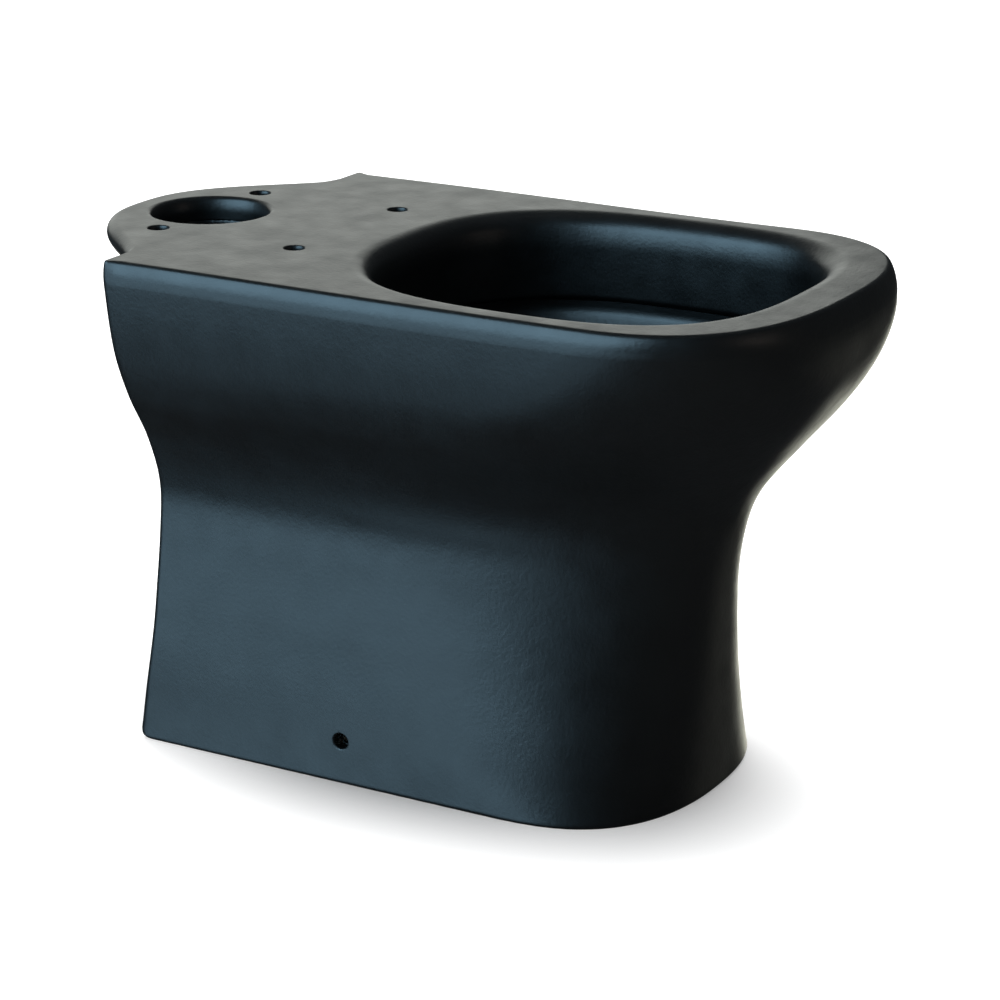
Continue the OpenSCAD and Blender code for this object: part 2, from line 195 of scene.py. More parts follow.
def corner_half(z, inset, steps):
    """Front corner of the body at height z, from the front tip to the straight side."""
    t = min(z / SIDE_TOP, 1.0)
    a = half_width(z) - inset
    b = blend3(CORNER_DEPTH, t) * MM - inset
    n = blend3(CORNER_SIDE_POWER, t)
    m = blend3(CORNER_FRONT_POWER, t)
    y0 = FRONT_Y + float(along(FRONT_PROFILE, z / MM)) * MM + inset
    s = 1 - np.cos(np.linspace(0, np.pi / 2, steps + 1))
    return np.column_stack([a * (1 - (1 - s) ** m) ** (1 / n), y0 + b * s])


def straight(start, end, steps):
    """Points from start to end, with neither end."""
    t = np.linspace(0, 1, steps + 1)[1:-1, None]
    return np.array(start) * (1 - t) + np.array(end) * t


def arc(centre, r, from_deg, to_deg, steps):
    q = np.radians(np.linspace(from_deg, to_deg, steps + 1))
    return np.column_stack([centre[0] + r * np.cos(q), centre[1] + r * np.sin(q)])


def mirrored(points):
    return points * np.array([-1.0, 1.0])


def whole(half):
    """Closed outline from a right half that starts and ends on the centre line."""
    return np.vstack([half, mirrored(half[1:-1])[::-1]])


def superellipse(a, front, rear, y, powers, steps):
    """Closed curve with one half length towards the front and another towards the rear."""
    q = np.linspace(0, 2 * np.pi, steps, endpoint=False)
    c, s = np.cos(q), np.sin(q)
    power = np.where(s < 0, powers[0], powers[1])
    b = np.where(s < 0, front, rear)
    return np.column_stack([
        a * np.sign(c) * np.abs(c) ** (2 / power),
        y + b * np.sign(s) * np.abs(s) ** (2 / power),
    ])


def evened(loop, count):
    """The same closed curve with its points spaced evenly."""
    closed = np.vstack([loop, loop[:1]])
    step = np.linalg.norm(np.diff(closed, axis=0), axis=1)
    at = np.concatenate([[0], np.cumsum(step)])
    want = np.linspace(0, at[-1], count, endpoint=False)
    return np.column_stack([np.interp(want, at, closed[:, k]) for k in (0, 1)])


def mouth_outline(inset, count=240):
    return evened(
        superellipse(
            MOUTH_W / 2 - inset, MOUTH_FRONT - inset, MOUTH_REAR - inset,
            MOUTH_Y, MOUTH_POWERS, 4 * count,
        ),
        count,
    )


def bowl_outline(z, out, count=240):
    """Plan of the bowl at height z, easing out of the round sump below it."""
    t = min(max((z - SUMP_TOP) / (BOWL_TOP - SUMP_TOP), 0.0), 1.0)
    eased = t * t / (t + BOWL_EASE) * (1 + BOWL_EASE)
    grown = eased**BOWL_SWELL
    grown_rear = eased**BOWL_REAR_SWELL
    side = SUMP_R + (BOWL_TOP_HALF - SUMP_R) * grown + out
    front = SUMP_Y - SUMP_R + (BOWL_TOP_FRONT - SUMP_Y + SUMP_R) * grown - out
    rear = SUMP_Y + SUMP_R + (BOWL_TOP_REAR - SUMP_Y - SUMP_R) * grown_rear + out
    power = 2 + BOWL_SQUARENESS * t
    half = (rear - front) / 2
    loop = superellipse(side, half, half, (rear + front) / 2, (power, power), 4 * count)
    return evened(loop, count)


def tongue_edge(x):
    """Edge of the cistern platform: half a cosine wave, filled out at its sides."""
    turn = np.pi * (np.abs(x) / TONGUE_HALF) ** TONGUE_FILL
    return TONGUE_LEN * ((1 + np.cos(turn)) / 2) ** TONGUE_POWER


def plan_height(z):
    """Height whose plan the deck takes at z: the body's sides turn upright through the deck."""
    above = max(z - UNDER_DECK, 0.0)
    return z - above**2 / (2 * DECK_T)


def deck_outline(z):
    """Plan of the deck: body, rear corners and cistern platform."""
    front = corner_half(plan_height(z), 0, 64)
    a = front[-1][0]
    corner = arc((a - REAR_CORNER_R, REAR_Y - REAR_CORNER_R), REAR_CORNER_R, 0, 90, 10)
    x = np.linspace(TONGUE_HALF, 0, 60)
    tongue = np.column_stack([x, REAR_Y + tongue_edge(x)])
    side = straight(front[-1], corner[0], 90)
    return whole(np.vstack([front, side, corner, tongue]))


def rolled(run, tight, turn_deg, steps=14):
    """Section of a rolled edge, as (distance in, distance down): a tight turn, then an easy one."""
    turn = math.radians(turn_deg)
    first = np.linspace(0, turn, steps + 1)
    last = np.linspace(turn, np.pi / 2, steps + 1)[1:]
    easy = (run - tight * math.sin(turn)) / (1 - math.sin(turn))
    across = tight * math.sin(turn) + easy * (np.sin(last) - math.sin(turn))
    down = tight * (1 - math.cos(turn)) + easy * (math.cos(turn) - np.cos(last))
    return np.vstack([
        np.column_stack([tight * np.sin(first), tight * (1 - np.cos(first))]),
        np.column_stack([across, down]),
    ])


def smoothstep(low, high, x):
    """0 up to low, 1 from high on, and a smooth curve between them."""
    t = np.clip((x - low) / (high - low), 0, 1)
    return t * t * (3 - 2 * t)


def edge_inset(outline, z):
    """How far the rolled upper edge draws in at height z: less at the rear, which is tighter."""
    roll = rolled(*SIDE_ROLL)
    inset = SIDE_ROLL[0] - np.interp(PAN_H - z, roll[:, 1], roll[:, 0])
    at_rear = smoothstep(REAR_Y - 16 * MM, REAR_Y - 2 * MM, outline[:, 1])
    return inset * (1 - REAR_TIGHTER * at_rear)


def inward(outline, d):
    """Outline moved along its own normals by d, one value for each point."""
    t = np.roll(outline, -1, axis=0) - np.roll(outline, 1, axis=0)
    t /= np.linalg.norm(t, axis=1)[:, None]
    normal = np.column_stack([-t[:, 1], t[:, 0]])
    return outline + normal * np.reshape(d, (-1, 1))


# ---- Mesh building ----


def new_object(name, bm, smooth=True):
    bmesh.ops.recalc_face_normals(bm, faces=bm.faces)
    mesh = bpy.data.meshes.new(name)
    bm.to_mesh(mesh)
    bm.free()
    if smooth:
        mesh.shade_smooth()
    obj = bpy.data.objects.new(name, mesh)
    bpy.context.scene.collection.objects.link(obj)
    return obj


def ring_faces(bm, rows):
    """Faces between neighbouring rows of vertices, where each row is a closed ring."""
    for low, high in zip(rows, rows[1:]):
        for i in range(len(low)):
            j = (i + 1) % len(low)
            bm.faces.new((low[i], low[j], high[j], high[i]))


def rings_mesh(name, rings):
    """Closed surface through rings of points, each ring as (points, z)."""
    bm = bmesh.new()
    rows = [[bm.verts.new((p[0], p[1], z)) for p in ring] for ring, z in rings]
    ring_faces(bm, rows)
    bm.faces.new(rows[0])
    bm.faces.new(rows[-1])
    return new_object(name, bm)


def wall_mesh(name, rings):
    """Upright wall from rings of (outer path, inner path, z), both paths the same length."""
    bm = bmesh.new()
    rows = [
        [bm.verts.new((p[0], p[1], z)) for p in np.vstack([outer, inner[::-1]])]
        for outer, inner, z in rings
    ]
    ring_faces(bm, rows)
    total = len(rows[0])
    for row in (rows[0], rows[-1]):
        for i in range(total // 2 - 1):
            bm.faces.new((row[i], row[i + 1], row[total - 2 - i], row[total - 1 - i]))
    return new_object(name, bm)


def lathe(name, profile, steps=64, closed=True):
    """Surface of revolution about Z from (radius, z) points."""
    bm = bmesh.new()
    rows = []
    for k in range(steps):
        q = 2 * math.pi * k / steps
        rows.append([bm.verts.new((r * math.cos(q), r * math.sin(q), z)) for r, z in profile])
    count = len(profile)
    for k in range(steps):
        here, there = rows[k], rows[(k + 1) % steps]
        for i in range(count if closed else count - 1):
            j = (i + 1) % count
            bm.faces.new((here[i], there[i], there[j], here[j]))
    bmesh.ops.remove_doubles(bm, verts=bm.verts, dist=1e-6)
    return new_object(name, bm)


def looped_mesh(name, rows):
    """Ring-shaped surface through rows of 3-D points. The last row joins the first."""
    bm = bmesh.new()
    rows = [[bm.verts.new(p) for p in row] for row in rows]
    ring_faces(bm, rows + rows[:1])
    return new_object(name, bm)


def rod(name, r, start, end, steps=64):
    """Round cutting tool between two points."""
    length = (end - start).length
    tool = lathe(name, [(0, 0), (r, 0), (r, length), (0, length)], steps, closed=False)
    turn = (end - start).to_track_quat("Z", "Y").to_matrix().to_4x4()
    tool.data.transform(Matrix.Translation(start) @ turn)
    return tool


def pipe(name, path, outer, inner, steps=64):
    """Pipe along a path of (y, z, direction) in the middle plane, the direction in radians."""
    rows = []
    for r, stations in ((outer, path), (inner, path[::-1])):
        for y, z, way in stations:
            ring = []
            for k in range(steps):
                q = 2 * math.pi * k / steps
                up = r * math.sin(q)
                ring.append((r * math.cos(q), y - up * math.sin(way), z + up * math.cos(way)))
            rows.append(ring)
    return looped_mesh(name, rows)


def cast_copy(node, voxel):
    """Copy of a CAD node with every edge softened, as slip casting leaves it."""
    obj = frame["nodes"][node].copy()
    obj.data = frame["nodes"][node].data.copy()
    obj.name = node + "_china"
    obj.parent = None
    bpy.context.scene.collection.objects.link(obj)
    obj.matrix_world = Matrix.Identity(4)
    remesh = obj.modifiers.new("remesh", "REMESH")
    remesh.mode = "VOXEL"
    remesh.voxel_size = voxel
    soften = obj.modifiers.new("soften", "SMOOTH")
    soften.factor = 0.5
    soften.iterations = CAST_PASSES
    bpy.context.view_layer.update()
    apply_modifiers(obj)
    return obj


def grid_cut(obj, spacing):
    """Cuts an object's faces along upright planes, so that no face is wider than spacing."""
    bm = bmesh.new()
    bm.from_mesh(obj.data)
    lows = np.min([v.co[:] for v in bm.verts], axis=0)
    highs = np.max([v.co[:] for v in bm.verts], axis=0)
    for axis in (0, 1):
        for at in np.arange(lows[axis] + spacing / 2, highs[axis], spacing):
            normal = [0, 0, 0]
            normal[axis] = 1
            point = [0, 0, 0]
            point[axis] = at
            geom = bm.verts[:] + bm.edges[:] + bm.faces[:]
            bmesh.ops.bisect_plane(bm, geom=geom, plane_co=point, plane_no=normal, dist=1e-6)
    bm.to_mesh(obj.data)
    bm.free()


def apply_modifiers(obj):
    deps = bpy.context.evaluated_depsgraph_get()
    mesh = bpy.data.meshes.new_from_object(obj.evaluated_get(deps))
    obj.modifiers.clear()
    old = obj.data
    obj.data = mesh
    bpy.data.meshes.remove(old)


def cut(obj, tools, operation="DIFFERENCE"):
    """Subtracts, joins or intersects tools with obj, and removes the tools."""
    for tool in tools:
        mod = obj.modifiers.new("cut", "BOOLEAN")
        mod.operation = operation
        mod.solver = "EXACT"
        mod.object = tool
        bpy.context.view_layer.update()
        apply_modifiers(obj)
        bpy.data.objects.remove(tool)


def settle(obj):
    """Gives cast china its kiln sag and slight waviness. The same everywhere, so joints stay shut."""
    points = np.empty(3 * len(obj.data.vertices), np.float32)
    obj.data.vertices.foreach_get("co", points)
    points = points.reshape(-1, 3)
    y, z = points[:, 1], points[:, 2]
    sag = SAG * np.exp(-(((y - SAG_Y) / SAG_LEN) ** 2)) * smoothstep(250 * MM, 380 * MM, z)
    shift = np.array([noise.noise_vector(point) for point in points * WAVE_SCALE]) * WAVE
    shift[:, 2] = 0.6 * shift[:, 2] - sag
    points += shift * smoothstep(0, 30 * MM, z)[:, None]
    obj.data.vertices.foreach_set("co", points.ravel())
    obj.data.update()


def finish_piece(obj, material, nodes):
    obj.data.materials.clear()
    obj.data.materials.append(material)
    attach(obj, "root")
    if nodes:
        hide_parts(*nodes)
    return obj


# ---- Materials ----

CLAY_DARK = (0.46, 0.41, 0.34)
CLAY_PALE = (0.62, 0.57, 0.49)


def node_material(name):
    mat = bpy.data.materials.new(name)
    mat.use_nodes = True
    tree = mat.node_tree
    tree.nodes.clear()
    out = tree.nodes.new("ShaderNodeOutputMaterial")
    shader = tree.nodes.new("ShaderNodeBsdfPrincipled")
    tree.links.new(shader.outputs[0], out.inputs[0])
    return mat, tree, shader


def add_noise(tree, scale, detail=2.0, rough=0.5):
    coords = tree.nodes.new("ShaderNodeTexCoord")
    tex = tree.nodes.new("ShaderNodeTexNoise")
    tex.inputs["Scale"].default_value = scale
    tex.inputs["Detail"].default_value = detail
    tex.inputs["Roughness"].default_value = rough
    tree.links.new(coords.outputs["Object"], tex.inputs["Vector"])
    return tex.outputs["Fac"]


def remap(tree, value, low, high, to_low, to_high):
    node = tree.nodes.new("ShaderNodeMapRange")
    node.inputs["From Min"].default_value = low
    node.inputs["From Max"].default_value = high
    node.inputs["To Min"].default_value = to_low
    node.inputs["To Max"].default_value = to_high
    tree.links.new(value, node.inputs["Value"])
    return node.outputs["Result"]


def mix_colors(tree, fac, a, b):
    """Mix of two colours, each given as numbers or as another node's output."""
    node = tree.nodes.new("ShaderNodeMix")
    node.data_type = "RGBA"
    for side, color in (("A", a), ("B", b)):
        if isinstance(color, tuple):
            node.inputs[side].default_value = (*color, 1)
        else:
            tree.links.new(color, node.inputs[side])
    tree.links.new(fac, node.inputs["Factor"])
    return node.outputs["Result"]


def add_bump(tree, height, distance, strength=1.0, normal=None):
    node = tree.nodes.new("ShaderNodeBump")
    node.inputs["Distance"].default_value = distance
    node.inputs["Strength"].default_value = strength
    tree.links.new(height, node.inputs["Height"])
    if normal is not None:
        tree.links.new(normal, node.inputs["Normal"])
    return node.outputs["Normal"]


def above_foot(tree):
    """0 on the bare clay at the floor, 1 above it, with a ragged line between them."""
    coords = tree.nodes.new("ShaderNodeTexCoord")
    parts = tree.nodes.new("ShaderNodeSeparateXYZ")
    tree.links.new(coords.outputs["Object"], parts.inputs["Vector"])
    ragged = tree.nodes.new("ShaderNodeMath")
    ragged.operation = "MULTIPLY_ADD"
    ragged.inputs[1].default_value = 3.0 * MM
    tree.links.new(add_noise(tree, 90.0, 3.0), ragged.inputs[0])
    tree.links.new(parts.outputs["Z"], ragged.inputs[2])
    return remap(tree, ragged.outputs[0], 1.5 * MM, 1.9 * MM, 0.0, 1.0)


def black_glaze():
    """Satin black glaze: orange peel, slow unevenness and slight cloudiness, over a bare foot."""
    mat, tree, shader = node_material("black_glaze")
    cloud = add_noise(tree, 9.0, 3.0)
    black = mix_colors(tree, cloud, (0.0035, 0.0042, 0.0046), (0.0045, 0.0054, 0.0058))
    color = mix_colors(tree, above_foot(tree), CLAY_PALE, black)
    tree.links.new(color, shader.inputs["Base Color"])
    patch = add_noise(tree, 35.0, 4.0)
    tree.links.new(remap(tree, patch, 0.3, 0.7, 0.34, 0.42), shader.inputs["Roughness"])
    shader.inputs["Specular IOR Level"].default_value = 0.5
    peel = add_noise(tree, 340.0, 3.0)
    slow = add_noise(tree, 70.0, 2.0)
    bumped = add_bump(tree, slow, 0.4 * MM, 0.5)
    bumped = add_bump(tree, peel, 0.2 * MM, 0.75, bumped)
    tree.links.new(bumped, shader.inputs["Normal"])
    return mat


def bare_china():
    """Unglazed fired china: chalky, faintly speckled."""
    mat, tree, shader = node_material("bare_china")
    speck = add_noise(tree, 260.0, 4.0, 0.7)
    color = mix_colors(tree, speck, CLAY_DARK, CLAY_PALE)
    tree.links.new(color, shader.inputs["Base Color"])
    shader.inputs["Roughness"].default_value = 0.85
    bumped = add_bump(tree, add_noise(tree, 700.0, 3.0), 0.15 * MM, 0.7)
    tree.links.new(bumped, shader.inputs["Normal"])
    return mat


def plated_steel(name, tone, grain):
    """Zinc plate: a grey metal with fine spangle and uneven gloss."""
    mat, tree, shader = node_material(name)
    spangle = add_noise(tree, grain, 3.0, 0.6)
    dark = tuple(0.82 * c for c in tone)
    tree.links.new(mix_colors(tree, spangle, dark, tone), shader.inputs["Base Color"])
    shader.inputs["Metallic"].default_value = 1.0
    tree.links.new(remap(tree, spangle, 0.3, 0.7, 0.28, 0.46), shader.inputs["Roughness"])
    bumped = add_bump(tree, add_noise(tree, 900.0, 2.0), 0.02 * MM, 0.6)
    tree.links.new(bumped, shader.inputs["Normal"])
    return mat


def away_from_foot(tree):
    """Distance from the middle of the foot, 1 where the foot ends along X and along Y. It shapes the
    floor's painted shadow.
    """
    low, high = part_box("foot_ring")
    coords = tree.nodes.new("ShaderNodeTexCoord")
    in_feet = tree.nodes.new("ShaderNodeMapping")
    in_feet.vector_type = "TEXTURE"
    in_feet.inputs["Location"].default_value = (low + high) / 2
    in_feet.inputs["Scale"].default_value = ((high.x - low.x) / 2, (high.y - low.y) / 2, 1)
    distance = tree.nodes.new("ShaderNodeVectorMath")
    distance.operation = "LENGTH"
    tree.links.new(coords.outputs["Object"], in_feet.inputs["Vector"])
    tree.links.new(in_feet.outputs["Vector"], distance.inputs[0])
    return distance.outputs["Value"]


def painted_shadow_floor():
    """Pale paint that glows evenly far from the foot and less near it: the dimming is a painted
    contact shadow around the foot.
    """
    mat, tree, shader = node_material("painted_shadow_floor")
    grain = add_noise(tree, 3.0, 2.0)
    color = mix_colors(tree, grain, (0.50, 0.50, 0.50), (0.52, 0.52, 0.52))
    tree.links.new(color, shader.inputs["Base Color"])
    shader.inputs["Roughness"].default_value = 0.9
    shader.inputs["Specular IOR Level"].default_value = 0.1
    # Glow from 0.35 at the foot up to 1.0 further out: a painted contact shadow on the floor.
    painted_shadow_glow = remap(tree, away_from_foot(tree), 1.0, 1.6, 0.35, 1.0)
    tree.links.new(painted_shadow_glow, shader.inputs["Emission Strength"])
    shader.inputs["Emission Color"].default_value = (1, 1, 1, 1)
    return mat


# ---- China ----


def round_edge(depth):
    """How far a plain rounded edge draws in at a depth below its face."""
    rest = max(EDGE_R - depth, 0.0)
    return EDGE_R - math.sqrt(EDGE_R**2 - rest**2)


def deck_piece(glaze):
    """Deck and cistern platform, with rolled lips at every hole."""
    drops = DECK_T * (1 - np.cos(np.linspace(0, np.pi, 44))) / 2
    rings = []
    for drop in drops[::-1]:
        z = PAN_H - drop
        up = DECK_T - drop
        outline = deck_outline(z)
        on_tongue = smoothstep(REAR_Y - 2 * MM, REAR_Y + 10 * MM, outline[:, 1])
        body = edge_inset(outline, z)
        tongue = round_edge(drop) + round_edge(up)
        rings.append((inward(outline, tongue * on_tongue + body * (1 - on_tongue)), z))
    deck = rings_mesh("deck_china", rings)
    grid_cut(deck, 8 * MM)
    tools = [mouth_tool()]
    tools += [lip_tool(x, y, r, lip) for x, y, r, lip in deck_holes()]
    cut(deck, tools)
    return finish_china(deck, glaze, ["deck"])


def finish_china(obj, glaze, nodes):
    obj.data.shade_smooth()
    obj.data.set_sharp_from_angle(angle=math.radians(35))
    settle(obj)
    return finish_piece(obj, glaze, nodes)


def deck_holes():
    """Holes through the deck as (x, y, radius, lip radius)."""
    inlet = MOUNTS["flush_inlet"]
    cistern = MOUNTS["cistern_bolts"]
    seat = MOUNTS["seat_hinge_holes"]
    holes = [(0, inlet["pos_m"][1], inlet["dims"]["r_mm"] * MM, 6.5 * MM)]
    for mount in (cistern, seat):
        for side in (-1, 1):
            x = side * mount["dims"]["spacing_x_mm"] * MM / 2
            holes.append((x, mount["pos_m"][1], mount["dims"]["hole_r_mm"] * MM, 1.8 * MM))
    return holes


def mouth_tool():
    """Solid that cuts the bowl opening, with its rolled lip."""
    roll = rolled(*MOUTH_ROLL)
    at_seam = np.interp(DECK_T, roll[:, 1], roll[:, 0])
    rings = [(mouth_outline(at_seam), z) for z in (UNDER_DECK - 5 * MM, UNDER_DECK)]
    for inset, drop in roll[roll[:, 1] < DECK_T][::-1]:
        rings.append((mouth_outline(inset), PAN_H - drop))
    rings.append((mouth_outline(-0.2 * MM), PAN_H + 5 * MM))
    return rings_mesh("mouth_tool", rings)


def lip_tool(x, y, r, lip):
    """Solid that cuts a round hole through the deck, with its rolled lip."""
    profile = [(0, PAN_H + 5 * MM), (r + lip * 1.01, PAN_H + 5 * MM)]
    for inset, drop in rolled(lip, 0.75 * lip, 66):
        if drop < DECK_T:
            profile.append((r + lip - inset, PAN_H - drop))
    profile += [(r, UNDER_DECK - 5 * MM), (0, UNDER_DECK - 5 * MM)]
    tool = lathe("lip_tool", profile, 96 if r > 20 * MM else 48, closed=False)
    tool.data.transform(Matrix.Translation((x, y, 0)))
    return tool


def skirt_paths(z, grow=0.0):
    """Outer and inner path of the skirt wall at height z, from rear left to rear right."""
    rear = rear_at(z)
    outer = corner_half(z, -grow, 64)
    a = outer[-1][0]
    r = REAR_CORNER_R
    outer_corner = arc((a - r, rear - r), r, 0, 90, 8)
    outer = np.vstack([outer, straight(outer[-1], outer_corner[0], 90), outer_corner])
    inner = corner_half(z, SKIRT_WALL + grow, 64)
    b = inner[-1][0]
    inner_corner = arc((b + 2 * MM, rear - 2 * MM), 2 * MM, 180, 90, 8)
    inner = np.vstack([inner, straight(inner[-1], inner_corner[0], 90), inner_corner])
    outer, inner = (np.vstack([mirrored(p[1:])[::-1], p]) for p in (outer, inner))
    return inward(outer, edge_inset(outer, z)), inner


def skirt_piece(glaze):
    """Outer wall from the floor to the deck, with the two side fixing holes."""
    foot_r = 4 * MM
    rings = []
    for q in np.radians(np.linspace(0, 80, 6)):
        outer, inner = skirt_paths(foot_r * (1 - math.sin(q)), -foot_r * (1 - math.cos(q)))
        rings.append((outer, inner, foot_r * (1 - math.sin(q))))
    rings = rings[::-1]
    for z in np.linspace(5.5 * MM, UNDER_DECK, 121):
        rings.append((*skirt_paths(z), z))
    skirt = wall_mesh("skirt_china", rings)
    cut(skirt, [side_tool(side) for side in (-1, 1)])
    return finish_china(skirt, glaze, ["skirt", "foot_ring"])


def side_tool(side):
    mount = MOUNTS["side_fixing_right"]
    r = mount["dims"]["r_mm"] * MM
    lip = 2 * MM
    face = half_width(mount["pos_m"][2])
    profile = [(0, 20 * MM), (r + lip * 1.01, 20 * MM)]
    for q in np.radians(np.linspace(0, 90, 9)):
        profile.append((r + lip - lip * math.sin(q), -lip * (1 - math.cos(q))))
    profile += [(r, -30 * MM), (0, -30 * MM)]
    tool = lathe("side_tool", profile, 48, closed=False)
    turn = Matrix.Rotation(math.radians(90 * side), 4, "Y")
    place = Matrix.Translation((side * face, mount["pos_m"][1], mount["pos_m"][2]))
    tool.data.transform(place @ turn)
    return tool


def rim_piece(glaze):
    """Inner wall of the rim, hanging below the deck's lip and rounded underneath."""
    round_r = CHINA_T / 2
    roll = rolled(*MOUTH_ROLL)
    heights = np.linspace(UNDER_DECK, RIM_BOTTOM + round_r, 30)
    rings = [(np.interp(PAN_H - z, roll[:, 1], roll[:, 0]), z) for z in heights]
    for q in np.radians(np.linspace(0, 180, 13)[1:]):
        rings.append((LIP_R - round_r + round_r * math.cos(q),
                      RIM_BOTTOM + round_r - round_r * math.sin(q)))
    rings.append((LIP_R - CHINA_T, UNDER_DECK))
    rows = [[(*p, z) for p in mouth_outline(inset)] for inset, z in rings]
    return finish_china(looped_mesh("rim_china", rows), glaze, ["rim_wall"])


def bowl_piece(glaze):
    """Bowl, its brim tucked under the rim wall, fitted inside the skirt."""
    round_r = CHINA_T / 2
    heights = np.linspace(SUMP_TOP, BOWL_BRIM - round_r, 44)
    rings = [(0, z) for z in heights] + [(0, BOWL_BRIM)]
    for q in np.radians(np.linspace(90, 180, 6)[:-1]):
        rings.append((round_r * (1 - math.cos(q)), BOWL_BRIM - round_r * (1 - math.sin(q))))
    rings += [(CHINA_T, z) for z in heights[::-1]]
    rows = [[(*p, z) for p in bowl_outline(z, out)] for out, z in rings]
    bowl = looped_mesh("bowl_china", rows)
    room = []
    for z in np.linspace(SUMP_TOP - 5 * MM, BOWL_BRIM + 5 * MM, 32):
        half = corner_half(z, SKIRT_WALL + BOWL_GAP, 48)
        rear = np.array([[half[-1][0], REAR_Y], [0, REAR_Y]])
        room.append((whole(np.vstack([half, rear])), z))
    cut(bowl, [rings_mesh("skirt_room", room)], "INTERSECT")
    return finish_china(bowl, glaze, ["bowl"])


def cup_profile(r, low, round_r, top):
    """Side of a round cup with a rounded bottom, from the axis to the brim."""
    points = [(0, low)]
    for q in np.radians(np.linspace(-90, 0, 11)):
        points.append((r - round_r + round_r * math.cos(q), low + round_r * (1 + math.sin(q))))
    return points + [(r, top)]


def sump_hollow():
    tool = lathe("sump_hollow", cup_profile(
        SUMP_R, SUMP_LOW.z + CHINA_T, SUMP_ROUND, SUMP_TOP + 1 * MM) + [(0, SUMP_TOP + 1 * MM)],
        96, closed=False)
    tool.data.transform(Matrix.Translation((0, SUMP_Y, 0)))
    return tool


def sump_piece(glaze):
    """Water cup under the bowl, open to the trap behind it."""
    outer = cup_profile(SUMP_OUT_R, SUMP_LOW.z, SUMP_ROUND + CHINA_T, SUMP_TOP)
    inner = cup_profile(SUMP_R, SUMP_LOW.z + CHINA_T, SUMP_ROUND, SUMP_TOP)
    sump = lathe("sump_china", outer + inner[::-1], 96, closed=False)
    sump.data.transform(Matrix.Translation((0, SUMP_Y, 0)))
    way = rod("dip_way", TRAP_OUT_R, Vector((0, SUMP_Y, DIP_Z)), Vector((0, DIP_END_Y, DIP_Z)))
    cut(sump, [way])
    return finish_china(sump, glaze, ["sump"])


def trap_pieces(glaze):
    """The trap in three cast sections: level dip with its bend, rising leg, and crown."""
    turns = np.linspace(0, RISE, 17)
    dip = [(y, DIP_Z, 0) for y in np.linspace(SUMP_Y, DIP_END_Y, 10)[:-1]]
    dip += [(DIP_END_Y + BEND_R * math.sin(q), DIP_Z + BEND_R * (1 - math.cos(q)), q) for q in turns]
    y, z = DIP_END_Y + BEND_ON, DIP_Z + BEND_UP
    leg = [(y + d * math.cos(RISE), z + d * math.sin(RISE), RISE) for d in np.linspace(0, LEG_LEN, 10)]
    y, z = leg[-1][0] + BEND_ON, CROWN_Z - BEND_R
    crown = [(y - BEND_R * math.sin(q), z + BEND_R * math.cos(q), q) for q in turns[::-1]]
    for node, path in (("trap_dip", dip), ("trap_up_leg", leg), ("trap_crown", crown)):
        piece = pipe(node + "_china", path, TRAP_OUT_R, TRAP_R)
        if node == "trap_dip":
            cut(piece, [sump_hollow()])
        finish_china(piece, glaze, [node])


def spigot_piece(glaze):
    """Outlet for the pan connector, rounded at its mouth, with the trap let into its front."""
    length = SPIGOT_HIGH.y - SPIGOT_LOW.y
    inner = SPIGOT_R - SPIGOT_WALL
    lip = SPIGOT_WALL / 2
    shoulder = 3 * MM
    profile = [(0, 0)]
    for q in np.radians(np.linspace(-90, 0, 7)):
        profile.append((SPIGOT_R - shoulder * (1 - math.cos(q)), shoulder * (1 + math.sin(q))))
    for q in np.radians(np.linspace(0, 180, 13)):
        profile.append((inner + lip + lip * math.cos(q), length - lip + lip * math.sin(q)))
    for q in np.radians(np.linspace(0, -90, 7)):
        profile.append((inner - shoulder * (1 - math.cos(q)), CHINA_T + shoulder * (1 + math.sin(q))))
    profile.append((0, CHINA_T))
    spigot = lathe("outlet_spigot_china", profile, 96, closed=False)
    place = Matrix.Translation((0, SPIGOT_LOW.y, SPIGOT_Z))
    spigot.data.transform(place @ Matrix.Rotation(math.radians(-90), 4, "X"))
    start = Vector((0, SPIGOT_LOW.y - 5 * MM, CROWN_Z))
    cut(spigot, [rod("passage", TRAP_R, start, start + Vector((0, CHINA_T + 10 * MM, 0)))])
    return finish_china(spigot, glaze, ["outlet_spigot"])


def cast_pieces(glaze, bare):
    """The plainer cast sections inside the pan."""
    for node in ("back_frame", "rim_floor", "rim_back", "flush_duct", "flush_splitter"):
        finish_china(cast_copy(node, CAST_VOXEL), glaze, [node])
    for node in ("fixing_boss_left", "fixing_boss_right"):
        finish_china(cast_copy(node, SMALL_VOXEL), glaze, [node])
    saddle = cast_copy("trap_saddle", SMALL_VOXEL)
    settle(saddle)
    finish_piece(saddle, bare, ["trap_saddle"])


# ---- Steel fixings ----


